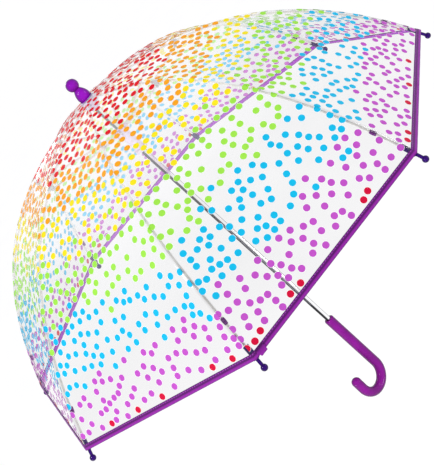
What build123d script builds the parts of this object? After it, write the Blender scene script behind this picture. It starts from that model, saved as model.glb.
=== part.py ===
from build123d import *
import os
from math import atan2, cos, degrees, radians, sin, tan

os.makedirs("parts", exist_ok=True)

# Millimetres. The shaft stands on +Z with the ferrule up, the handle hooks towards -X, and the
# origin is on the shaft's axis at the middle of the grip's straight length.

# ---- driving dimensions ----
rib_count = 8
rib_step = 360 / rib_count
half_step = rib_step / 2

hem_radius = 360.0
dome_height = 243.0
grip_top_below_hem = 228.0
grip_straight = 107.0
hem_z = grip_top_below_hem + grip_straight / 2
apex_z = hem_z + dome_height

# corner line of the dome: a slightly raised peak, a fuller shoulder and a steep skirt
crown_reach = 166.4
crown_drop = 13.0
shoulder_radius = 271.9
shoulder_height = 167.4

film = 0.5
film_opening = 8.0
panel_gap = 0.15

rib_radius = 1.3
rib_inset = 3.6
blade = 1.4
blade_length = 8.0
pin_clearance = 0.09

hinge_radius = 9.0
rib_hinge_drop = 5.0
wire_radius = 0.5

shaft_radius = 4.0
shaft_wall = 0.7
shaft_top = 8.5
shaft_in_grip = 70.0

joint_share = 0.275
joint_drop = 5.4
joint_pin = 0.8
fold_angle = 48.7

crown_radius = 12.0
crown_height = 9.0
slot_width = 2.2
slot_floor = 7.0

runner_radius = 7.0
runner_collar = 8.0
runner_length = 41.0
runner_flange = 9.5
groove_width = 3.0
groove_reach = 6.1

catch_angle = 67.5
catch_width = 2.0
tooth_reach = 5.6
tooth_length = 9.0
catch_gap = 0.5

grip_radius = 7.5
hook_radius = 24.3
hook_turn = 182.0
hook_tail = 15.3

hem_width = 7.0
hem_cloth = 0.4
hem_gap = 0.1

tip_sleeve = 17.0
tip_ball = 4.0
tip_reach = 12.0


# ---- the dome's corner line and lines parallel to it ----
def unit(angle):
    """Direction in the (radius, height) plane that points down by the angle in degrees."""
    return Vector(cos(radians(angle)), -sin(radians(angle)))


def inner_normal(angle):
    """Normal towards the inside of the dome for a line that falls by the angle in degrees."""
    return Vector(-sin(radians(angle)), -cos(radians(angle)))


def fall(start, end):
    """How steeply the line from start to end falls, in degrees."""
    return degrees(atan2(start.Y - end.Y, end.X - start.X))


def dome_line(width_scale, inset):
    """Control points of the corner line, narrowed by width_scale and moved inwards by inset."""
    first = Vector(0, dome_height)
    second = Vector(crown_reach * width_scale, dome_height - crown_drop)
    third = Vector(shoulder_radius * width_scale, shoulder_height)
    last = Vector(hem_radius * width_scale, 0)
    normals = [
        inner_normal(fall(first, second)),
        inner_normal(fall(second, third)),
        inner_normal(fall(third, last)),
    ]
    moved = [first + Vector(0, inset / normals[0].Y)]
    moved.append(second + (normals[0] + normals[1]) * (inset / (1 + normals[0].dot(normals[1]))))
    moved.append(third + (normals[1] + normals[2]) * (inset / (1 + normals[1].dot(normals[2]))))
    moved.append(last + normals[2] * inset)
    return moved


def curve_point(controls, t):
    """Point on the cubic with the given control points."""
    s = 1 - t
    return (
        controls[0] * s**3
        + controls[1] * (3 * s * s * t)
        + controls[2] * (3 * s * t * t)
        + controls[3] * t**3
    )


def after(controls, t):
    """Control points of the part of the cubic that comes after t."""
    rows = [controls]
    while len(rows[-1]) > 1:
        row = rows[-1]
        rows.append([a * (1 - t) + b * t for a, b in zip(row, row[1:])])
    return [row[-1] for row in reversed(rows)]


def curve_fall(controls, t):
    """How steeply the cubic falls at t, in degrees."""
    s = 1 - t
    ahead = controls[1] * s * s + controls[2] * (2 * s * t) + controls[3] * t * t
    behind = controls[0] * s * s + controls[1] * (2 * s * t) + controls[2] * t * t
    return fall(behind, ahead)


def save(solid, name):
    """Write one named piece."""
    solid.label = name
    export_step(solid, f"parts/{name}.step")


def save_around(solid, name):
    """Write one copy of a piece for each rib."""
    for i in range(rib_count):
        save(solid.rotate(Axis.Z, i * rib_step), f"{name}_{i + 1}")


# ---- linkage points in the first rib's plane, heights from the hem plane ----
rib_hinge = Vector(hinge_radius, dome_height - rib_hinge_drop)
rib_controls = after(dome_line(1, rib_inset), hinge_radius / (3 * crown_reach))
rib_controls[0] = rib_hinge
skirt_fall = fall(rib_controls[2], rib_controls[3])
rib_end = rib_controls[3]
joint_on_rib = curve_point(rib_controls, joint_share)
joint_fall = curve_fall(rib_controls, joint_share)
joint_pivot = joint_on_rib + inner_normal(joint_fall) * joint_drop
runner_pivot = Vector(hinge_radius, 2 * joint_pivot.Y - rib_hinge.Y)
stretcher_length = (joint_pivot - runner_pivot).length
stretcher_rise = degrees(
    atan2(joint_pivot.Y - runner_pivot.Y, joint_pivot.X - runner_pivot.X)
)
folded_rise = stretcher_rise + fold_angle
runner_travel = 2 * stretcher_length * (sin(radians(folded_rise)) - sin(radians(stretcher_rise)))
runner_z = hem_z + runner_pivot.Y
runner_top = runner_z + runner_collar / 2
runner_bottom = runner_top - runner_length

rib_plane = Plane(origin=(0, 0, hem_z), x_dir=(1, 0, 0), z_dir=(0, -1, 0))

# ---- shaft: chrome tube with a window for each catch ----
shaft_bottom = grip_straight / 2 - shaft_in_grip
upper_tooth_top = runner_bottom - catch_gap
lower_tooth_bottom = runner_top - runner_travel + catch_gap
window_spare = 0.5
window_width = catch_width + 2 * window_spare
window_length = tooth_length + 2 * window_spare
upper_window = upper_tooth_top - tooth_length / 2
lower_window = lower_tooth_bottom + tooth_length / 2

with BuildPart() as shaft:
    with BuildSketch(Plane.XY.offset(shaft_bottom)):
        Circle(shaft_radius)
        Circle(shaft_radius - shaft_wall, mode=Mode.SUBTRACT)
    extrude(amount=apex_z + shaft_top - shaft_bottom)
    with Locations(Rotation(0, 0, catch_angle)):
        with Locations((shaft_radius, 0, upper_window), (shaft_radius, 0, lower_window)):
            Box(2 * shaft_wall + 1, window_width, window_length, mode=Mode.SUBTRACT)
save(shaft.part, "shaft")

# ---- grip: plastic J-handle with a bore for the shaft ----
grip_end = -grip_straight / 2
with BuildPart() as grip:
    with BuildLine() as grip_path:
        straight = Line((0, 0, grip_straight / 2), (0, 0, grip_end))
        hook_line = CenterArc((0, 0), hook_radius, 0, -hook_turn, mode=Mode.PRIVATE)
        hook_plane = Plane(origin=(-hook_radius, 0, grip_end), x_dir=(1, 0, 0), z_dir=(0, -1, 0))
        hook = add(hook_plane.from_local_coords(hook_line))
        tail_start = grip_path.edges().sort_by(Axis.X)[0].end_point()
        tail_run = Vector(sin(radians(hook_turn - 180)), 0, cos(radians(hook_turn - 180)))
        tail_stop = (grip_path.line @ 1) + tail_run * hook_tail
        tail = Line(grip_path.line @ 1, tail_stop)
    with BuildSketch(Plane.XY.offset(grip_straight / 2)):
        Circle(grip_radius)
    sweep(path=grip_path.line)
    with Locations(tail_stop):
        Sphere(grip_radius)
    with BuildSketch(Plane.XY.offset(grip_straight / 2)):
        Circle(shaft_radius + 0.05)
    extrude(amount=-shaft_in_grip - 1, mode=Mode.SUBTRACT)
    grip_rim = grip.edges().filter_by(GeomType.CIRCLE).group_by(Axis.Z)[-1].sort_by(SortBy.RADIUS)
    fillet(grip_rim[-1], 2)
save(grip.part, "grip")

# ---- ferrule: moulded cap with a rounded bell, a neck and a ball ----
ferrule_foot = 0.9
ferrule_radius = 9.2
ferrule_rim = 1.6
bell_radius = 8.4
bell_height = 9.2
bell_round = 3.8
neck_radius = 4.9
neck_height = 15.8
ball_radius = 8.6
ball_height = 23.3
ball_cut = (ball_radius**2 - neck_radius**2) ** 0.5
with BuildPart() as ferrule:
    with BuildSketch(Plane.XZ.shift_origin((0, 0, apex_z))):
        with BuildLine():
            foot = Polyline(
                (0, shaft_top + 0.5),
                (shaft_radius + 0.05, shaft_top + 0.5),
                (shaft_radius + 0.05, ferrule_foot),
                (ferrule_radius - 0.6, ferrule_foot),
                (ferrule_radius, ferrule_foot + ferrule_rim),
            )
            shoulder = Spline(
                foot @ 1,
                (bell_radius, bell_height),
                ((bell_radius + neck_radius) / 2, bell_height + bell_round),
                (neck_radius, neck_height),
            )
            neck = Line(shoulder @ 1, (neck_radius, ball_height - ball_cut))
            ball = ThreePointArc(
                neck @ 1, (ball_radius, ball_height), (0, ball_height + ball_radius)
            )
            Line(ball @ 1, foot @ 0)
        make_face()
    revolve(axis=Axis.Z)
save(ferrule.part, "ferrule")

# ---- washer that holds the film down on the crown ----
washer_radius = 9.4
with BuildPart() as canopy_washer:
    with BuildSketch(Plane.XY.offset(apex_z - 0.45)):
        Circle(washer_radius)
        Circle(shaft_radius + 0.1, mode=Mode.SUBTRACT)
    extrude(amount=1.2)
    fillet(canopy_washer.edges().filter_by(GeomType.CIRCLE).group_by(Axis.Z)[-1][-1], 0.3)
save(canopy_washer.part, "canopy_washer")

# ---- crown: slotted disc that the rib ends hinge in, on a short neck ----
crown_top = apex_z - film - 1.5
crown_neck = 7.0
wire_channel = wire_radius + 0.05
crown_hinge_z = apex_z - rib_hinge_drop
with BuildPart() as crown:
    with BuildSketch(Plane.XY.offset(crown_top)):
        Circle(crown_radius)
    extrude(amount=-crown_height)
    fillet(crown.edges().filter_by(GeomType.CIRCLE), 0.8)
    with BuildSketch(Plane.XY.offset(crown_top - crown_height)):
        Circle(slot_floor - 0.2)
    extrude(amount=-crown_neck)
    with BuildSketch(Plane.XY.offset(crown_top)):
        with PolarLocations(slot_floor + crown_radius / 2, rib_count):
            Rectangle(crown_radius, slot_width)
    extrude(amount=-crown_height, mode=Mode.SUBTRACT)
    with Locations((0, 0, crown_hinge_z)):
        Torus(hinge_radius, wire_channel, mode=Mode.SUBTRACT)
    with Locations((0, 0, crown_top)):
        Cylinder(
            shaft_radius + 0.03,
            crown_height + crown_neck + 1,
            align=(Align.CENTER, Align.CENTER, Align.MAX),
            mode=Mode.SUBTRACT,
        )
save(crown.part, "crown")

# ---- hinge wires of the crown and the runner ----
with BuildPart() as crown_wire:
    with Locations((0, 0, crown_hinge_z)):
        Torus(hinge_radius, wire_radius)
save(crown_wire.part, "crown_wire")

with BuildPart() as runner_wire:
    with Locations((0, 0, runner_z)):
        Torus(hinge_radius, wire_radius)
save(runner_wire.part, "runner_wire")

# ---- runner: sleeve with a slotted collar, a thumb flange and an inner groove for the catches ----
flange_height = 5.0
with BuildPart() as runner:
    with BuildSketch(Plane.XY.offset(runner_bottom)):
        Circle(runner_radius)
    extrude(amount=runner_length)
    with BuildSketch(Plane.XY.offset(runner_top - runner_collar)):
        Circle(crown_radius)
    extrude(amount=runner_collar)
    with BuildSketch(Plane.XY.offset(runner_bottom)):
        Circle(runner_flange)
    extrude(amount=flange_height)
    outer_rims = runner.edges().filter_by(GeomType.CIRCLE).filter_by(
        lambda e: e.radius > runner_radius + 0.1
    )
    fillet(outer_rims, 1.0)
    with BuildSketch(Plane.XY.offset(runner_top)):
        with PolarLocations(slot_floor + crown_radius / 2, rib_count):
            Rectangle(crown_radius, slot_width)
    extrude(amount=-runner_collar, mode=Mode.SUBTRACT)
    with Locations((0, 0, runner_z)):
        Torus(hinge_radius, wire_channel, mode=Mode.SUBTRACT)
    with Locations((0, 0, runner_bottom + runner_length / 2)):
        Cylinder(shaft_radius + 0.08, runner_length + 1, mode=Mode.SUBTRACT)
    with Locations(Rotation(0, 0, catch_angle)):
        with Locations((groove_reach / 2, 0, runner_bottom + runner_length / 2)):
            Box(groove_reach, groove_width, runner_length + 1, mode=Mode.SUBTRACT)
save(runner.part, "runner")

# ---- stop ring on the shaft above the raised runner ----
with BuildPart() as runner_stop:
    with BuildSketch(Plane.XY.offset(runner_top + 0.4)):
        Circle(shaft_radius + 1.6)
        Circle(shaft_radius + 0.03, mode=Mode.SUBTRACT)
    extrude(amount=2.4)
    stop_rims = runner_stop.edges().filter_by(GeomType.CIRCLE)
    fillet(stop_rims.filter_by(lambda e: e.radius > shaft_radius + 1), 0.6)
save(runner_stop.part, "runner_stop")

# ---- catches: a leaf inside the tube with a tooth that stands out through its window ----
leaf_inner = 2.0
leaf_outer = 2.8
leaf_spare = 5.0
with BuildPart() as upper_catch:
    with BuildSketch(Plane.XZ.offset(-catch_width / 2)):
        with BuildLine():
            Polyline(
                (leaf_inner, upper_tooth_top + leaf_spare),
                (leaf_outer, upper_tooth_top + leaf_spare),
                (leaf_outer, upper_tooth_top),
                (tooth_reach, upper_tooth_top),
                (tooth_reach, upper_tooth_top - 1.5),
                (leaf_outer + 0.4, upper_tooth_top - tooth_length),
                (leaf_outer, upper_tooth_top - tooth_length - leaf_spare),
                (leaf_inner, upper_tooth_top - tooth_length - leaf_spare),
                close=True,
            )
        make_face()
    extrude(amount=catch_width)
save(upper_catch.part.rotate(Axis.Z, catch_angle), "upper_catch")

with BuildPart() as lower_catch:
    with BuildSketch(Plane.XZ.offset(-catch_width / 2)):
        with BuildLine():
            Polyline(
                (leaf_inner, lower_tooth_bottom - leaf_spare),
                (leaf_outer, lower_tooth_bottom - leaf_spare),
                (leaf_outer, lower_tooth_bottom),
                (tooth_reach, lower_tooth_bottom),
                (tooth_reach, lower_tooth_bottom + 1.5),
                (leaf_outer + 0.4, lower_tooth_bottom + tooth_length),
                (leaf_outer, lower_tooth_bottom + tooth_length + leaf_spare),
                (leaf_inner, lower_tooth_bottom + tooth_length + leaf_spare),
                close=True,
            )
        make_face()
    extrude(amount=catch_width)
save(lower_catch.part.rotate(Axis.Z, catch_angle), "lower_catch")

# ---- rib: bent rod, flattened into an eye at the crown, straight in its tip ----
eye_radius = 1.5
eye_bore = wire_radius + pin_clearance
rib_in_tip = 5.0
with BuildPart() as rib:
    with BuildLine() as rib_path:
        bent = Bezier(*[rib_plane.from_local_coords(p) for p in rib_controls])
        Line(bent @ 1, rib_plane.from_local_coords(rib_end + unit(skirt_fall) * rib_in_tip))
    with BuildSketch(Plane(origin=rib_path.line @ 0, z_dir=rib_path.line % 0)):
        Circle(rib_radius)
    sweep(path=rib_path.line)
    with Locations(rib_plane.shift_origin((hinge_radius + blade_length / 2, 0, apex_z))):
        with Locations((0, 0, rib_radius + blade / 2), (0, 0, -rib_radius - blade / 2)):
            Box(blade_length + 4, 3 * crown_height, 2 * rib_radius, mode=Mode.SUBTRACT)
    with BuildSketch(Plane.XZ.offset(-blade / 2)):
        with Locations((hinge_radius, crown_hinge_z)):
            Circle(eye_radius)
    extrude(amount=blade)
    with BuildSketch(Plane.XZ.offset(-blade / 2)):
        with Locations((hinge_radius, crown_hinge_z)):
            Circle(eye_bore)
    extrude(amount=blade, mode=Mode.SUBTRACT)
save_around(rib.part, "rib")

# ---- stretcher: straight rod, eye at the rib, open hook eye at the runner ----
outer_eye = 2.1
mouth_angle = 26.0
mouth_run = 8.0
stretcher_plane = Plane(
    origin=(runner_pivot.X, 0, runner_z),
    x_dir=(cos(radians(stretcher_rise)), 0, sin(radians(stretcher_rise))),
    z_dir=(0, -1, 0),
)
with BuildPart() as stretcher:
    with BuildSketch(Plane(origin=stretcher_plane.origin, z_dir=stretcher_plane.x_dir)):
        Circle(rib_radius)
    extrude(amount=stretcher_length)
    with Locations(stretcher_plane):
        with Locations(
            (blade_length / 2 - 2, 0, rib_radius + blade / 2),
            (blade_length / 2 - 2, 0, -rib_radius - blade / 2),
            (stretcher_length - blade_length / 2 + 2, 0, rib_radius + blade / 2),
            (stretcher_length - blade_length / 2 + 2, 0, -rib_radius - blade / 2),
        ):
            Box(blade_length + 4, 8, 2 * rib_radius, mode=Mode.SUBTRACT)
    with BuildSketch(stretcher_plane.offset(-blade / 2)):
        Circle(eye_radius)
        with Locations((stretcher_length, 0)):
            Circle(outer_eye)
    extrude(amount=blade)
    with BuildSketch(stretcher_plane.offset(-blade / 2)):
        Circle(eye_bore)
        with Locations((stretcher_length, 0)):
            Circle(joint_pin + pin_clearance)
        with BuildLine():
            Polyline(
                (-eye_bore, 0),
                (-eye_bore, 3),
                (mouth_run, 3),
                (
                    eye_bore * sin(radians(mouth_angle)) + mouth_run * cos(radians(mouth_angle)),
                    mouth_run * sin(radians(mouth_angle)) - eye_bore * cos(radians(mouth_angle)),
                ),
                (
                    eye_bore * sin(radians(mouth_angle)),
                    -eye_bore * cos(radians(mouth_angle)),
                ),
                close=True,
            )
        make_face()
    extrude(amount=blade, mode=Mode.SUBTRACT)
save_around(stretcher.part, "stretcher")

# ---- rib joint: clip round the rib, two cheeks and the pin through the stretcher's eye ----
clip_radius = 2.3
clip_length = 9.0
cheek = 0.9
cheek_gap = 0.35
cheek_out = blade / 2 + cheek_gap + cheek
joint_plane = Plane(
    origin=(joint_on_rib.X, 0, hem_z + joint_on_rib.Y),
    x_dir=(cos(radians(joint_fall)), 0, -sin(radians(joint_fall))),
    z_dir=(0, -1, 0),
)
with BuildPart() as rib_joint:
    with BuildSketch(
        Plane(origin=joint_plane.origin, z_dir=joint_plane.x_dir).offset(-clip_length / 2)
    ):
        Circle(clip_radius)
    extrude(amount=clip_length)
    with BuildSketch(joint_plane.offset(-cheek_out)):
        with Locations((0, -joint_drop)):
            Circle(2.2)
        with Locations((0, -joint_drop / 2)):
            Rectangle(4.4, joint_drop)
    extrude(amount=2 * cheek_out)
    with BuildSketch(joint_plane.offset(-cheek_out + cheek)):
        with Locations((0, -joint_drop - clip_radius)):
            Rectangle(12, 2 * joint_drop)
    extrude(amount=2 * (cheek_out - cheek), mode=Mode.SUBTRACT)
    with BuildSketch(
        Plane(origin=joint_plane.origin, z_dir=joint_plane.x_dir).offset(-clip_length)
    ):
        Circle(rib_radius + 0.12)
    extrude(amount=2 * clip_length, mode=Mode.SUBTRACT)
    with BuildSketch(joint_plane.offset(-cheek_out)):
        with Locations((0, -joint_drop)):
            Circle(joint_pin)
    extrude(amount=2 * cheek_out)
    with BuildSketch(joint_plane.offset(-cheek_out - 0.5)):
        with Locations((0, -joint_drop)):
            Circle(1.4)
    extrude(amount=0.5)
    with BuildSketch(joint_plane.offset(cheek_out)):
        with Locations((0, -joint_drop)):
            Circle(1.4)
    extrude(amount=0.5)
save_around(rib_joint.part, "rib_joint")

# ---- rib tip: flat sleeve on the rib's end, stem and ball ----
tip_plane = Plane(
    origin=(rib_end.X, 0, hem_z + rib_end.Y),
    x_dir=(sin(radians(skirt_fall)), 0, cos(radians(skirt_fall))),
    z_dir=(cos(radians(skirt_fall)), 0, -sin(radians(skirt_fall))),
)
with BuildPart() as rib_tip:
    with BuildSketch(tip_plane.offset(-tip_sleeve)):
        Ellipse(2.1, 3.5)
    extrude(amount=tip_sleeve + 1)
    with BuildSketch(tip_plane.offset(0.5)):
        Circle(2.0)
    extrude(amount=tip_reach)
    with Locations(tip_plane.offset(tip_reach)):
        Sphere(tip_ball)
    with BuildSketch(tip_plane.offset(-tip_sleeve - 1)):
        Circle(rib_radius + 0.12)
    extrude(amount=tip_sleeve + 1 + rib_in_tip + 0.3, mode=Mode.SUBTRACT)
save_around(rib_tip.part, "rib_tip")

# ---- canopy film: half of the panel on each side of a rib, creased over the rib ----
panel_scale = cos(radians(half_step))
half_chord = hem_radius * sin(radians(half_step))
panel_out = (cos(radians(half_step)), sin(radians(half_step)), 0)
panel_across = (sin(radians(half_step)), -cos(radians(half_step)), 0)
panel_plane = Plane(origin=(0, 0, hem_z), x_dir=panel_out, z_dir=panel_across)
film_outer = dome_line(panel_scale, 0)
film_inner = dome_line(panel_scale, film)
hem_fall = fall(film_outer[2], film_outer[3])

with BuildPart() as canopy_gore:
    with BuildSketch(panel_plane.offset(panel_gap)):
        with BuildLine():
            outer_line = Bezier(*film_outer)
            hem_edge = Line(outer_line @ 1, film_inner[3])
            inner_line = Bezier(*reversed(film_inner))
            Line(inner_line @ 1, outer_line @ 0)
        make_face()
    extrude(amount=half_chord + 5)
    split(bisect_by=Plane.XZ, keep=Keep.BOTTOM)
    mirror(about=Plane.XZ)
    with Locations((0, 0, apex_z)):
        Cylinder(film_opening, 20, mode=Mode.SUBTRACT)
save_around(canopy_gore.part, "canopy_gore")

# ---- hem: tape folded over the film's edge ----
hem_spine = Plane(
    origin=panel_plane.from_local_coords((film_outer[3].X, film_outer[3].Y, panel_gap)),
    x_dir=panel_plane.from_local_coords(unit(hem_fall)) - panel_plane.origin,
    z_dir=panel_across,
)
hem_back = hem_cloth + hem_gap
with BuildPart() as hem:
    with BuildSketch(hem_spine):
        with BuildLine():
            Polyline(
                (-hem_width, hem_back),
                (hem_back, hem_back),
                (hem_back, -film - hem_back),
                (-hem_width, -film - hem_back),
                (-hem_width, -film - hem_gap),
                (hem_gap, -film - hem_gap),
                (hem_gap, hem_gap),
                (-hem_width, hem_gap),
                close=True,
            )
        make_face()
    extrude(amount=half_chord + 5)
    split(bisect_by=Plane.XZ, keep=Keep.BOTTOM)
    mirror(about=Plane.XZ)
save_around(hem.part, "hem")

# ---- closure strap: short folded tape sewn on the hem beside one tip ----
strap_width = 12.0
strap_length = 9.0
strap_cloth = 1.6
strap_from_rib = 5.0
strap_rib = 6
with BuildPart() as closure_strap:
    with BuildSketch(hem_spine.offset(half_chord - strap_from_rib - strap_width)):
        with Locations((-strap_length / 6, hem_back + hem_gap + strap_cloth / 2)):
            RectangleRounded(strap_length, strap_cloth, 0.5)
    extrude(amount=strap_width)
save(closure_strap.part.rotate(Axis.Z, (strap_rib - 1) * rib_step), "closure_strap")
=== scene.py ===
import math
import random
from bisect import bisect_right

import bpy
from mathutils import Matrix, Vector


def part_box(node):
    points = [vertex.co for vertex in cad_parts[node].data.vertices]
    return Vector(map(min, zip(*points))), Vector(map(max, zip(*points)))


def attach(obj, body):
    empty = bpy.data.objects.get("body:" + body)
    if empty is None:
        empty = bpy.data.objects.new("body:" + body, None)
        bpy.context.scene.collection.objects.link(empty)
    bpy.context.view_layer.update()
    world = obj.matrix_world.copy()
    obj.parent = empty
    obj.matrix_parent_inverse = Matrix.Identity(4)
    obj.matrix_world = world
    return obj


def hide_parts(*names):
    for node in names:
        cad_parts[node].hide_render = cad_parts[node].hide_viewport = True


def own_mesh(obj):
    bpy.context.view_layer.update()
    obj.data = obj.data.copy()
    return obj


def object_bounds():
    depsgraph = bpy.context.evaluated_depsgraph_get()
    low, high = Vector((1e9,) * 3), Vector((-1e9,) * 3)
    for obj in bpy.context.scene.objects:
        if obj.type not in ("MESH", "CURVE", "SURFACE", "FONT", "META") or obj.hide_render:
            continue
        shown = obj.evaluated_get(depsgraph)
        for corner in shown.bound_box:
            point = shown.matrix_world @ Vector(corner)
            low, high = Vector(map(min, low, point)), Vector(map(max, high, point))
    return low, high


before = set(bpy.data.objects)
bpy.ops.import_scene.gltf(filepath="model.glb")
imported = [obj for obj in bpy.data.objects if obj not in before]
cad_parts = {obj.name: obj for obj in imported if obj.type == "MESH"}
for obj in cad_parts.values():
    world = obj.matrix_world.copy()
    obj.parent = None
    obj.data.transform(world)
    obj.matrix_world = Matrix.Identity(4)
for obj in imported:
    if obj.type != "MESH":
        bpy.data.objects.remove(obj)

cad_low, cad_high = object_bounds()

# ---- places, in metres, from the CAD parts; rib i + 1 stands at i steps from +X ----
RIBS = 8
STEP = math.radians(360 / RIBS)
HALF = STEP / 2
FILM_PAST_HEM = 0.0002
PEAK_ABOVE_FILM = 0.0006

gore_low, gore_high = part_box("canopy_gore_1")
hem_z = gore_low.z + FILM_PAST_HEM
apex_z = gore_high.z + PEAK_ABOVE_FILM
radius = gore_high.x
height = apex_z - hem_z

# the dome's corner line as a cubic, in shares of the hem radius and the dome's height
LINE = ((0.0, 1.0), (0.4622, 0.9465), (0.7553, 0.6889), (1.0, 0.0))
# how far a panel's middle sinks in between its two ribs, and the opening round the shaft
SAG = 0.0035
OPENING = 0.0085


# ---- shape of the dome ----
def cubic(t):
    """Distance out and height above the hem on the corner line, t from the peak to the hem."""
    s = 1 - t
    share = (s**3, 3 * s * s * t, 3 * s * t * t, t**3)
    r = sum(k * p[0] for k, p in zip(share, LINE)) * radius
    z = sum(k * p[1] for k, p in zip(share, LINE)) * height
    return r, z


class Profile:
    """The corner line, or a panel's middle line when narrowed, by its length from the hem."""

    def __init__(self, width_scale, samples=400):
        line = [cubic(1 - k / samples) for k in range(samples + 1)]
        self.points = [(r * width_scale, z) for r, z in line]
        self.run = [0.0]
        for a, b in zip(self.points, self.points[1:]):
            self.run.append(self.run[-1] + math.dist(a, b))
        self.length = self.run[-1]

    def at(self, v):
        """Distance out, height and outward normal at length v; it runs straight on past both ends."""
        k = min(max(bisect_right(self.run, v) - 1, 0), len(self.run) - 2)
        a, b = self.points[k], self.points[k + 1]
        gap = self.run[k + 1] - self.run[k]
        f = (v - self.run[k]) / gap
        dy, dz = (b[0] - a[0]) / gap, (b[1] - a[1]) / gap
        return a[0] + (b[0] - a[0]) * f, a[1] + (b[1] - a[1]) * f, (dz, -dy)


panel = Profile(math.cos(HALF))
corner = Profile(1.0)


def half_width(v):
    """Half the panel's width at length v from the hem."""
    return panel.at(v)[0] * math.tan(HALF)


def on_panel(j, x, v, lift=0.0):
    """Point on the panel after rib j + 1, x to the side of its middle line and v up from the hem."""
    y, z, n = panel.at(v)
    w = max(y * math.tan(HALF), 1e-6)
    bow = max(0.0, 1 - (x / w) ** 2) * math.sin(math.pi * min(max(v / panel.length, 0), 1))
    lift = lift - SAG * bow
    y, z = y + n[0] * lift, z + n[1] * lift
    a = (j + 0.5) * STEP
    out = Vector((math.cos(a), math.sin(a), 0))
    along = Vector((-math.sin(a), math.cos(a), 0))
    return out * y + along * x + Vector((0, 0, hem_z + z))


def beside_rib(i, share, v, lift=0.0):
    """Point on the half panels beside rib i + 1: share 0 on the rib, -1 and 1 on their middle lines."""
    w = half_width(v)
    if share <= 0:
        return on_panel(i - 1, w * (1 + share), v, lift)
    return on_panel(i, -w * (1 - share), v, lift)


# ---- node trees ----
def grey(k):
    return k, k, k


def shade(colour, k):
    return tuple(min(1.0, x * k) for x in colour)


class Tree:
    """Short calls for the nodes used here, in the node tree of a material or of the world."""

    def __init__(self, owner):
        owner.use_nodes = True
        self.nodes = owner.node_tree.nodes
        self.links = owner.node_tree.links

    def feed(self, socket, value):
        """Link an output to the socket, or set the socket's own value."""
        if isinstance(value, bpy.types.NodeSocket):
            self.links.new(value, socket)
        else:
            socket.default_value = value

    def node(self, kind, **inputs):
        n = self.nodes.new("ShaderNode" + kind)
        for name, value in inputs.items():
            self.feed(n.inputs[name], value)
        return n

    def noise(self, scale, detail=3.0, stretch=None):
        where = self.node("TexCoord").outputs["Object"]
        if stretch:
            where = self.node("Mapping", Vector=where, Scale=stretch).outputs["Vector"]
        return self.node("TexNoise", Vector=where, Scale=scale, Detail=detail).outputs["Fac"]

    def ramp(self, source, *stops):
        n = self.node("ValToRGB", Fac=source)
        elements = n.color_ramp.elements
        while len(elements) < len(stops):
            elements.new(0.5)
        for k, (position, colour) in enumerate(stops):
            elements[k].position = position
            elements[k].color = (*colour, 1)
        return n.outputs["Color"]

    def calc(self, operation, *values):
        n = self.node("Math")
        n.operation = operation
        for k, value in enumerate(values):
            self.feed(n.inputs[k], value)
        return n.outputs["Value"]

    def mix(self, factor, a, b, blend="MIX"):
        n = self.node("Mix")
        n.data_type = "RGBA"
        n.blend_type = blend
        for name, value in (("Factor", factor), ("A", a), ("B", b)):
            self.feed(n.inputs[name], value)
        return n.outputs["Result"]

    def uv(self, layer):
        n = self.node("UVMap")
        n.uv_map = layer
        return n.outputs["UV"]

    def split(self, vector):
        n = self.node("SeparateXYZ", Vector=vector)
        return [n.outputs[axis] for axis in "XYZ"]


class Surface(Tree):
    """A material with one Principled shader."""

    def __init__(self, name):
        self.material = bpy.data.materials.new(name)
        super().__init__(self.material)
        self.shader = self.nodes["Principled BSDF"]

    def set(self, **inputs):
        """Feed shader inputs, named with underscores for spaces."""
        for name, value in inputs.items():
            self.feed(self.shader.inputs[name.replace("_", " ")], value)

    def bump(self, source, strength, distance):
        n = self.node("Bump", Strength=strength, Distance=distance, Height=source)
        self.set(Normal=n.outputs["Normal"])


# ---- materials ----
# painted shade: how far the plastic's colour is darkened as its surface turns away from the eye
PAINTED_EDGE_SHADE = ((0.0, 1), (0.18, 0.8), (0.4, 0.58), (0.7, 0.3), (1.0, 0.14))


def gloss_plastic(name, colour, rough, spread=0.16, painted_shade_depth=1.0):
    """Moulded plastic, slightly uneven in colour, with painted shade darkening it towards its edges and a
    painted highlight across its middle.
    """
    s = Surface(name)
    # random tone, with the colour raised by 1.35 as a painted highlight where the surface faces the eye
    uneven = s.ramp(
        s.noise(60.0), (0.3, shade(colour, 1.35 - spread)), (0.7, shade(colour, 1.35 + spread))
    )
    facing = s.node("LayerWeight").outputs["Facing"]
    # painted shade towards the edges, mixed in by the shade depth
    rim = s.ramp(facing, *((position, grey(k)) for position, k in PAINTED_EDGE_SHADE))
    fine = s.noise(900.0, 2.0)
    s.set(
        Base_Color=s.mix(painted_shade_depth, uneven, rim, "MULTIPLY"),
        Roughness=s.ramp(fine, (0.35, grey(rough * 0.8)), (0.75, grey(rough * 1.35))),
        Specular_IOR_Level=0.15,
        Specular_Tint=(0.8, 0.35, 0.9, 1),
        Coat_Weight=0.1,
        Coat_Roughness=0.07,
    )
    s.bump(fine, 0.08, 0.0002)
    return s.material


def metal(name, colour, rough, metallic=1.0):
    """Drawn wire, with fine streaks along it."""
    s = Surface(name)
    streaks = s.noise(180.0, 4.0, stretch=(1, 1, 0.06))
    s.set(
        Base_Color=s.ramp(streaks, (0.3, shade(colour, 0.86)), (0.7, shade(colour, 1.08))),
        Roughness=s.ramp(streaks, (0.3, grey(rough * 0.7)), (0.75, grey(rough * 1.5))),
        Metallic=metallic,
    )
    s.bump(streaks, 0.12, 0.0001)
    return s.material


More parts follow.
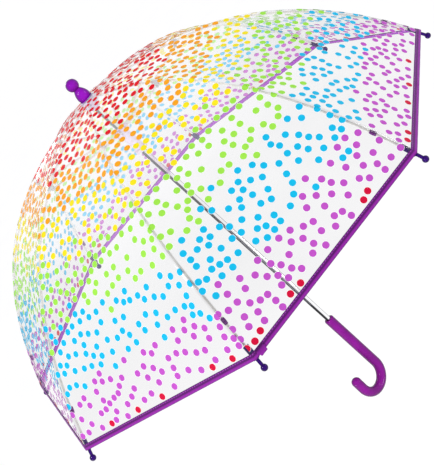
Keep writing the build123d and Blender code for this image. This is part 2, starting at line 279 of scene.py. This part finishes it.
def chrome():
    """Polished tube, with painted reflections: near-black and grey bands running down its sides, fixed by the
    angle round it.
    """
    s = Surface("shaft_chrome")
    x, y, _ = s.split(s.node("TexCoord").outputs["Object"])
    half_turn = s.calc("FRACT", s.calc("DIVIDE", s.calc("ARCTAN2", y, x), math.pi))
    streaks = s.noise(220.0, 3.0, stretch=(1, 1, 0.02))
    painted_reflection_angle = s.calc("ADD", half_turn, s.calc("MULTIPLY", streaks, 0.03))
    # painted reflections: near-black, grey and white bands fixed round the tube, standing in for its
    # surroundings
    painted_dark_reflection, painted_grey_reflection, painted_bright_reflection = (0.03, 0.03, 0.035), (0.36, 0.36, 0.37), (0.93, 0.93, 0.94)
    s.set(
        Base_Color=s.ramp(
            painted_reflection_angle,
            (0.0, painted_dark_reflection), (0.26, painted_dark_reflection), (0.29, painted_grey_reflection), (0.33, painted_bright_reflection), (0.6, painted_bright_reflection),
            (0.64, painted_grey_reflection), (0.71, painted_grey_reflection), (0.75, painted_bright_reflection), (0.8, painted_bright_reflection), (0.84, painted_dark_reflection),
        ),
        Roughness=s.ramp(streaks, (0.3, grey(0.05)), (0.75, grey(0.12))),
        Metallic=1.0,
    )
    return s.material


def clear_film():
    """Clear film: a thin cloudy veil, denser at the welds beside the ribs; painted shade greys it near the
    hem, and a painted highlight makes it paler towards the crown.
    """
    s = Surface("clear_film")
    from_rib, from_hem, _ = s.split(s.uv("film"))
    cloud = s.noise(9.0, 4.0)
    veil = s.ramp(cloud, (0.3, grey(0.115)), (0.7, grey(0.165)))
    weld = s.ramp(from_rib, (0.0, grey(0.2)), (0.0026, grey(0.2)), (0.0034, grey(0)))
    # painted highlight: the veil thickens towards the crown, where its colour turns white
    crown_painted_glare = s.ramp(from_hem, (0.1, grey(0)), (0.3, grey(0.2)))
    # painted shade: a darker grey near the hem, giving way to near-white towards the crown
    painted_hem_shade = s.ramp(cloud, (0.3, (0.06, 0.055, 0.06)), (0.7, (0.12, 0.11, 0.12)))
    paler = s.ramp(from_hem, (0.08, grey(0)), (0.24, grey(1)))
    s.set(
        Alpha=s.calc("ADD", s.calc("ADD", veil, weld), crown_painted_glare),
        Base_Color=s.mix(paler, painted_hem_shade, (0.93, 0.93, 0.95, 1)),
        Roughness=0.1,
    )
    s.bump(s.noise(26.0), 0.25, 0.0015)
    return s.material


def ink(name, colour):
    """Printed ink, with slightly uneven cover."""
    s = Surface(name)
    cover = s.noise(220.0)
    s.set(
        Base_Color=s.ramp(cover, (0.3, shade(colour, 0.94)), (0.7, shade(colour, 1.04))),
        Roughness=s.ramp(cover, (0.3, grey(0.4)), (0.7, grey(0.5))),
        Specular_IOR_Level=0.1,
    )
    return s.material


STITCH_PITCH = 0.0036
STITCH_SHARE = 0.62
STITCH_LINE = 0.4
STITCH_HALF_WIDTH = 0.03


def woven_tape():
    """Binding tape: darker on its outer face, and brighter at the fold and inside, where the colour is a
    painted highlight; with one row of stitches.
    """
    s = Surface("hem_tape")
    place = s.uv("tape")
    along, across, _ = s.split(place)
    # painted highlight: the bright stops near 0.06 and from 0.6 on, at the fold and on the inner face
    tone = s.ramp(
        across,
        (0.0, (0.18, 0.006, 0.24)), (0.06, (0.33, 0.02, 0.41)), (0.19, (0.22, 0.009, 0.28)),
        (0.25, (0.05, 0.002, 0.08)), (0.31, (0.12, 0.005, 0.17)), (0.5, (0.07, 0.003, 0.11)),
        (0.6, (0.42, 0.035, 0.62)), (1.0, (0.36, 0.025, 0.54)),
    )
    wave = s.node("TexWave", Vector=place, Scale=380.0, Distortion=0.6)
    weave = s.mix(0.3, tone, wave.outputs["Color"], "MULTIPLY")
    cycle = s.calc("FRACT", s.calc("MULTIPLY", along, 1 / STITCH_PITCH))
    dash = s.calc("LESS_THAN", cycle, STITCH_SHARE)
    off_line = s.calc("ABSOLUTE", s.calc("SUBTRACT", across, STITCH_LINE))
    thread = s.calc("MULTIPLY", dash, s.calc("LESS_THAN", off_line, STITCH_HALF_WIDTH))
    s.set(
        Base_Color=s.mix(thread, weave, (0.3, 0.05, 0.38, 1)),
        Roughness=0.5,
        Specular_Tint=(0.8, 0.3, 0.9, 1),
    )
    s.bump(s.calc("ADD", wave.outputs["Fac"], thread), 0.35, 0.0002)
    return s.material


INK = {
    "red": (0.74, 0.001, 0.01),
    "orange": (0.9, 0.36, 0.01),
    "yellow": (0.88, 0.74, 0.012),
    "lime": (0.33, 0.74, 0.07),
    "cyan": (0.004, 0.47, 0.76),
    "orchid": (0.5, 0.08, 0.53),
    "pink": (0.62, 0.002, 0.04),
}
# dots seen from inside, through the film, are a little paler
BACK_FADE = 0.04
BACK_WHITE = 0.92


def faded(colour):
    return tuple(x + (BACK_WHITE - x) * BACK_FADE for x in colour)


inks = [ink("ink_" + name, colour) for name, colour in INK.items()]
inks += [ink("ink_back_" + name, faded(colour)) for name, colour in INK.items()]
inks.append(ink("ink_ring", (0.96, 0.96, 0.97)))
ink_names = list(INK)
film_mat = clear_film()
tape_mat = woven_tape()
handle_mat = gloss_plastic("handle_plastic", (0.21, 0.006, 0.235), 0.2)
ferrule_mat = gloss_plastic("ferrule_plastic", (0.23, 0.004, 0.4), 0.16)
tip_mat = gloss_plastic("tip_plastic", (0.02, 0.0015, 0.11), 0.18)
runner_mat = gloss_plastic("runner_plastic", (0.56, 0.51, 0.64), 0.3, spread=0.05, painted_shade_depth=0.15)
chrome_mat = chrome()
rib_mat = metal("rib_metal", (0.74, 0.73, 0.69), 0.32, 0.0)
steel_mat = metal("spring_steel", (0.55, 0.55, 0.57), 0.25)

MATERIAL_OF = {
    "shaft": chrome_mat,
    "grip": handle_mat,
    "ferrule": ferrule_mat,
    "canopy_washer": ferrule_mat,
    "crown": runner_mat,
    "runner": runner_mat,
    "runner_stop": runner_mat,
    "crown_wire": steel_mat,
    "runner_wire": steel_mat,
    "upper_catch": steel_mat,
    "lower_catch": steel_mat,
    "rib": rib_mat,
    "stretcher": rib_mat,
    "rib_joint": steel_mat,
    "rib_tip": tip_mat,
}
for name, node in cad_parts.items():
    mat = MATERIAL_OF.get(name.rstrip("0123456789").rstrip("_"))
    if mat is None:
        continue
    for slot in node.material_slots:
        slot.material = mat
    if not node.material_slots:
        node.data.materials.append(mat)


# ---- mesh helpers ----
def new_object(name, verts, faces, mats, uv=None, uv_name="film", indices=None):
    me = bpy.data.meshes.new(name)
    me.from_pydata([tuple(v) for v in verts], [], faces)
    for m in mats:
        me.materials.append(m)
    if indices:
        me.polygons.foreach_set("material_index", indices)
    if uv:
        layer = me.uv_layers.new(name=uv_name)
        for loop in me.loops:
            layer.data[loop.index].uv = uv[loop.vertex_index]
    me.polygons.foreach_set("use_smooth", [True] * len(me.polygons))
    me.update()
    ob = bpy.data.objects.new(name, me)
    bpy.context.collection.objects.link(ob)
    return ob


def quads(rows, row, base=0, closed=False, flip=False):
    """Faces between rows of points; a closed row's last point joins its first."""
    faces = []
    for a in range(rows - 1):
        for b in range(row if closed else row - 1):
            k, n = base + a * row + b, base + a * row + (b + 1) % row
            faces.append((k, k + row, n + row, n) if flip else (k, n, n + row, k + row))
    return faces


# ---- canopy film: one continuous sheet, carried in eight parts that meet on the panels' middle lines ----
FILM_ROWS = 49
FILM_HALF_COLUMNS = 9

MM_PER_METRE = 1000

# the film's length, to the last whole millimetre before the opening
film_top = next(
    mm / MM_PER_METRE
    for mm in range(int(panel.length * MM_PER_METRE), 0, -1)
    if panel.at(mm / MM_PER_METRE)[0] > OPENING
)


def gore(i):
    """Film on both sides of rib i + 1."""
    verts, uv = [], []
    for a in range(FILM_ROWS):
        v = film_top * a / (FILM_ROWS - 1)
        for b in range(2 * FILM_HALF_COLUMNS + 1):
            share = b / FILM_HALF_COLUMNS - 1
            verts.append(beside_rib(i, share, v))
            uv.append((abs(share) * half_width(v), v))
    faces = quads(FILM_ROWS, 2 * FILM_HALF_COLUMNS + 1)
    return new_object(f"canopy_{i + 1}", verts, faces, [film_mat], uv)


# ---- printed dots: colour bands up the dome, the borders mixed, and pink ones by the hem ----
DOT = 0.0040
DOT_GAP = 0.0089
DOT_AREA = 0.000168
DOT_SIDES = 14
DOT_LIFT = 0.00015
DOTS_FROM_HEM = 0.0105
DOTS_FROM_TOP = 0.004
# the pale rim of each dot, which is finer where the dots crowd together
RING = 0.0003
CROWDED_RING = 0.00005
CROWDED = 0.25
MORE_TRIES = 1.25
CHOICES = 5
AREA_SLICES = 200

PINK_BELOW = 0.016
PINK_SHARE = 0.45
BORDER_MIX = 0.0085
BANDS = ((0.068, "orchid"), (0.137, "cyan"), (0.205, "lime"), (0.26, "yellow"), (0.316, "orange"))
random.seed(11)


def band(v):
    """Colour of a dot at length v from the hem."""
    if v < PINK_BELOW:
        return "pink" if random.random() < PINK_SHARE else "orchid"
    v = v + random.gauss(0, BORDER_MIX)
    for limit, name in BANDS:
        if v < limit:
            return name
    return "red"


def scatter():
    """Dot centres on one panel: each new one is the farthest of a few tries from those already there."""
    found = []
    low, high = DOTS_FROM_HEM, film_top - DOTS_FROM_TOP
    area = 0.0
    for k in range(AREA_SLICES):
        v = low + (high - low) * (k + 0.5) / AREA_SLICES
        area += 2 * half_width(v) * (high - low) / AREA_SLICES
    tries = int(area / DOT_AREA)
    for turn in range(int(tries * MORE_TRIES)):
        start = low if turn < tries else CROWDED
        best, best_d = None, 0
        for _ in range(CHOICES):
            while True:
                v = random.uniform(start, high)
                x = random.uniform(-1, 1) * half_width(low)
                if abs(x) < half_width(v):
                    break
            d = min((math.hypot(x - a, v - b) for a, b in found), default=1.0)
            if d > best_d:
                best, best_d = (x, v), d
        if best_d > DOT_GAP:
            found.append(best)
    return found


def add_dot(store, j, x, v, colour):
    """A dot with its pale ring outside the film, and its paler back inside."""
    verts, faces, index = store
    front = len(verts)
    rim = DOT + (RING if v < CROWDED else CROWDED_RING)
    for size, lift in ((DOT, DOT_LIFT), (rim, DOT_LIFT), (DOT, -DOT_LIFT)):
        for k in range(DOT_SIDES):
            a = 2 * math.pi * k / DOT_SIDES
            px, pv = x + size * math.cos(a), v + size * math.sin(a)
            edge = half_width(pv)
            verts.append(on_panel(j, min(max(px, -edge), edge), pv, lift))
    ring, back = front + DOT_SIDES, front + 2 * DOT_SIDES
    number = ink_names.index(colour)
    faces.append(tuple(range(front, ring)))
    index.append(number)
    faces.append(tuple(reversed(range(back, back + DOT_SIDES))))
    index.append(len(INK) + number)
    for k in range(DOT_SIDES):
        n = (k + 1) % DOT_SIDES
        faces.append((front + k, ring + k, ring + n, front + n))
        index.append(2 * len(INK))


stores = [([], [], []) for _ in range(RIBS)]
for j in range(RIBS):
    for x, v in scatter():
        i = (j if x < 0 else j + 1) % RIBS
        add_dot(stores[i], j, x, v, band(v))

# ---- hem: tape folded over the film's edge ----
HEM_WIDTH = 0.0068
HEM_THICK = 0.0008
HEM_STATIONS = 33
HEM_SECTION = 14
# shares of the section where the outer face ends and the inner face starts; the fold is between
OUTER_END = 0.4
INNER_START = 0.6
FACE_LEAN = 0.45
FOLD_DEPTH = 1.1
OUTER_TONE = 0.5
PUCKER = 0.00012
PUCKER_WAVES = 61


def tape_section(q):
    """Length up from the hem, lift off the film and tone, at share q from the outer face to the inner."""
    if q < OUTER_END:
        up = 1 - q / OUTER_END
        return HEM_WIDTH * up, HEM_THICK * (1 - FACE_LEAN * up), OUTER_TONE * up
    if q <= INNER_START:
        a = math.pi * (q - OUTER_END) / (INNER_START - OUTER_END)
        return -HEM_THICK * FOLD_DEPTH * math.sin(a), HEM_THICK * math.cos(a), 0.0
    up = (q - INNER_START) / (1 - INNER_START)
    return HEM_WIDTH * up, -HEM_THICK * (1 - FACE_LEAN * up), q


# a small tie of the same tape round each rib, sewn to the seam
TIE_FROM_HEM = 0.05
TIE_LENGTH = 0.008
TIE_RADIUS = 0.0024
TIE_DEEPER = 1.15
TIE_ROWS = 6
TIE_SIDES = 12
TIE_PUCKER = 0.0001
TIE_SIDE = 0.0013
TIE_TONES = (0.26, 0.46)
RIB_INSET = 0.0036


def tie(i):
    """Points and tape coordinates of the tie on rib i + 1."""
    verts, uv = [], []
    y, z, n = corner.at(TIE_FROM_HEM)
    ahead = Vector((-n[1], 0, n[0]))
    outward = Vector((n[0], 0, n[1]))
    centre = Vector((y, 0, hem_z + z)) - outward * RIB_INSET
    turn = Matrix.Rotation(i * STEP, 3, "Z")
    for a in range(TIE_ROWS):
        s = a / (TIE_ROWS - 1) - 0.5
        reach = TIE_RADIUS * (1 - 0.5 * s * s) + TIE_PUCKER * math.sin(7 * a + i)
        for b in range(TIE_SIDES):
            angle = 2 * math.pi * b / TIE_SIDES
            p = centre + ahead * (s * TIE_LENGTH)
            p += outward * (reach * math.cos(angle) * TIE_DEEPER) + Vector((0, reach * math.sin(angle), 0))
            verts.append(turn @ p)
            uv.append((b * TIE_SIDE, TIE_TONES[a % 2]))
    return verts, uv


def hem_piece(i):
    """Tape along the hem on both sides of rib i + 1, and the tie on that rib."""
    verts, uv = [], []
    for a in range(HEM_STATIONS):
        share = 2 * a / (HEM_STATIONS - 1) - 1
        for b in range(HEM_SECTION + 1):
            q = b / HEM_SECTION
            v, lift, tone = tape_section(q)
            pucker = PUCKER * math.sin(share * PUCKER_WAVES + i) * math.sin(q * math.pi)
            verts.append(beside_rib(i, share, v, lift + pucker))
            uv.append((share * half_width(0), tone))
    tie_verts, tie_uv = tie(i)
    faces = quads(HEM_STATIONS, HEM_SECTION + 1)
    faces += quads(TIE_ROWS, TIE_SIDES, base=len(verts), closed=True)
    return new_object(f"hem_tape_{i + 1}", verts + tie_verts, faces, [tape_mat], uv + tie_uv, "tape")


# ---- closure strap: a short tape folded twice, into three layers, and sewn on the hem beside one tip ----
STRAP_RIB = 6
STRAP_FROM_RIB = 0.005
STRAP_WIDTH = 0.012
STRAP_THICK = 0.00045
STRAP_STATIONS = 13
# ends of the three layers and of the two short folds between them: up from the hem, lift off the film
STRAP_FOLDS = (
    (0.006, 0.0006), (-0.0028, 0.0008),
    (-0.0030, 0.0014), (0.0048, 0.0015),
    (0.0049, 0.0021), (-0.0022, 0.0022),
)
STRAP_STEPS = 8
STRAP_TAPER = 0.3
TAPER_FROM = 0.004
TAPER_LENGTH = 0.008
STRAP_PUFF = 0.0004
STRAP_WAVE = 0.00012
# where the strap sits on the tape's colour ramp: low down on the painted highlight by the fold, darker higher
# up
STRAP_TONE = 0.04
STRAP_TONE_RISE = 0.25


def strap_piece():
    """Three layers of tape, narrower at the free end, with soft folds and slightly wavy edges."""
    centre = []
    for a, b in zip(STRAP_FOLDS, STRAP_FOLDS[1:]):
        centre += [
            (a[0] + (b[0] - a[0]) * k / STRAP_STEPS, a[1] + (b[1] - a[1]) * k / STRAP_STEPS)
            for k in range(STRAP_STEPS)
        ]
    centre.append(STRAP_FOLDS[-1])
    # the centre line with its unit normal, once up one face and back down the other
    line = []
    for k, (v, lift) in enumerate(centre):
        p, q = centre[max(k - 1, 0)], centre[min(k + 1, len(centre) - 1)]
        run = math.hypot(q[0] - p[0], q[1] - p[1])
        line.append((v, lift, (q[1] - p[1]) / run, -(q[0] - p[0]) / run, k))
    start = -half_width(0) + STRAP_FROM_RIB
    fold_low, fold_high = min(STRAP_FOLDS)[0], max(STRAP_FOLDS)[0]
    top_lift = STRAP_FOLDS[-1][1]
    verts, uv = [], []
    for a in range(STRAP_STATIONS):
        s = a / (STRAP_STATIONS - 1)
        for side in (1, -1):
            for v, lift, nv, nl, k in line[::side]:
                narrowing = STRAP_TAPER * min(1.0, max(0.0, (TAPER_FROM - v) / TAPER_LENGTH))
                x = start + STRAP_WIDTH * (0.5 + (s - 0.5) * (1 - narrowing))
                puff = STRAP_PUFF * math.sin(math.pi * s) * lift / top_lift
                puff += STRAP_WAVE * math.sin(9 * s + k)
                off = side * STRAP_THICK / 2
                verts.append(on_panel(STRAP_RIB - 1, x, v + nv * off, lift + puff + nl * off))
                up = (v - fold_low) / (fold_high - fold_low)
                uv.append((s * STRAP_WIDTH, STRAP_TONE + STRAP_TONE_RISE * up))
    ring = 2 * len(centre)
    faces = quads(STRAP_STATIONS, ring, closed=True, flip=True)
    faces.append(tuple(range(ring)))
    faces.append(tuple(reversed(range((STRAP_STATIONS - 1) * ring, STRAP_STATIONS * ring))))
    return new_object("strap_tab", verts, faces, [tape_mat], uv, "tape")


# ---- pieces: each rides its rib, and the CAD gores and hems they replace are hidden ----
for i in range(RIBS):
    body = f"rib_{i + 1}_body"
    film = gore(i)
    verts, faces, index = stores[i]
    dots = new_object(f"dots_{i + 1}", verts, faces, inks, indices=index)
    tape = hem_piece(i)
    for piece in (film, dots, tape):
        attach(piece, body)
        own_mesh(piece)
    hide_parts(f"canopy_gore_{i + 1}")
    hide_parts(f"hem_{i + 1}")
    2 * half_width(0)

strap = strap_piece()
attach(strap, f"rib_{STRAP_RIB}_body")
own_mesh(strap)
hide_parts("closure_strap")

# ---- light: a strong key above the hook's side, weak fill and rim, and low lamps for the hem and handle ----
middle = Vector((0, 0, hem_z))
grip_middle = Vector((0, 0, 0))
# name, place, disk's width, watts, aim
LAMPS = (
    ("key", (-1.9, -0.4, 2.3), 0.35, 24, middle),
    ("fill", (1.7, -2.0, 1.3), 0.6, 8, middle),
    ("rim", (0.6, 2.4, 1.6), 0.6, 8, middle),
    ("low_left", (-2.1, 0.1, -0.75), 0.5, 16, grip_middle),
    ("low_right", (0.9, -2.0, -0.8), 0.3, 5, grip_middle),
)
for name, place, size, power, aim in LAMPS:
    data = bpy.data.lights.new(name, "AREA")
    data.shape = "DISK"
    data.size = size
    data.energy = power
    ob = bpy.data.objects.new(name, data)
    bpy.context.collection.objects.link(ob)
    ob.location = place
    ob.rotation_euler = (aim - Vector(place)).to_track_quat("-Z", "Y").to_euler()

# ---- stage: a pale floor well below the umbrella, and a sky that is whiter near the horizon ----
FLOOR_RADIUS = 60.0
FLOOR_DROP = 1.2
FLOOR_GLOW = 0.63

bpy.ops.mesh.primitive_circle_add(
    vertices=96, radius=FLOOR_RADIUS, fill_type="NGON", location=(0, 0, cad_low.z - FLOOR_DROP)
)
floor = bpy.context.object
floor.name = "floor"
paint = Surface("floor_paint")
paint.set(
    Base_Color=paint.ramp(paint.noise(3.0), (0.3, grey(0.46)), (0.7, grey(0.48))),
    Roughness=0.9,
    Specular_IOR_Level=0.1,
    Emission_Color=(1, 1, 1, 1),
    Emission_Strength=FLOOR_GLOW,
)
floor.data.materials.append(paint.material)

HORIZON, ZENITH = (1, 1, 1), (0.7, 0.7, 0.72)
world = bpy.data.worlds.new("studio")
bpy.context.scene.world = world
sky = Tree(world)
_, _, up_share = sky.split(sky.node("TexCoord").outputs["Generated"])
background = sky.nodes["Background"]
sky.feed(
    background.inputs["Color"],
    sky.ramp(up_share, (0.0, HORIZON), (0.25, HORIZON), (0.6, ZENITH), (1.0, ZENITH)),
)
sky.feed(background.inputs["Strength"], 1.0)
bpy.context.scene.view_settings.view_transform = "Standard"

# ---- camera, at the photo's angle: degrees, and distance and aim in hem radii ----
AZIMUTH, ELEVATION, ROLL = -31.511, 20.868, 47.959
DISTANCE = 3.5176
AIM = Vector((-0.04254, 0.01395, -0.02714))
LENS = 71.98
SENSOR_WIDTH = 36

aim = middle + AIM * radius
az, el, tilt = math.radians(AZIMUTH), math.radians(ELEVATION), math.radians(ROLL)
look = Vector((-math.sin(az) * math.cos(el), math.cos(az) * math.cos(el), -math.sin(el)))
right = look.cross(Vector((0, 0, 1))).normalized()
up = right.cross(look)
cam_up = up * math.cos(tilt) + right * math.sin(tilt)
cam_right = look.cross(cam_up)
cam_data = bpy.data.cameras.new("camera")
cam_data.lens = LENS
cam_data.sensor_width = SENSOR_WIDTH
cam = bpy.data.objects.new("camera", cam_data)
bpy.context.collection.objects.link(cam)
cam.matrix_world = Matrix.Translation(aim - look * DISTANCE * radius) @ Matrix(
    (cam_right, cam_up, -look)
).transposed().to_4x4()
bpy.context.scene.camera = cam
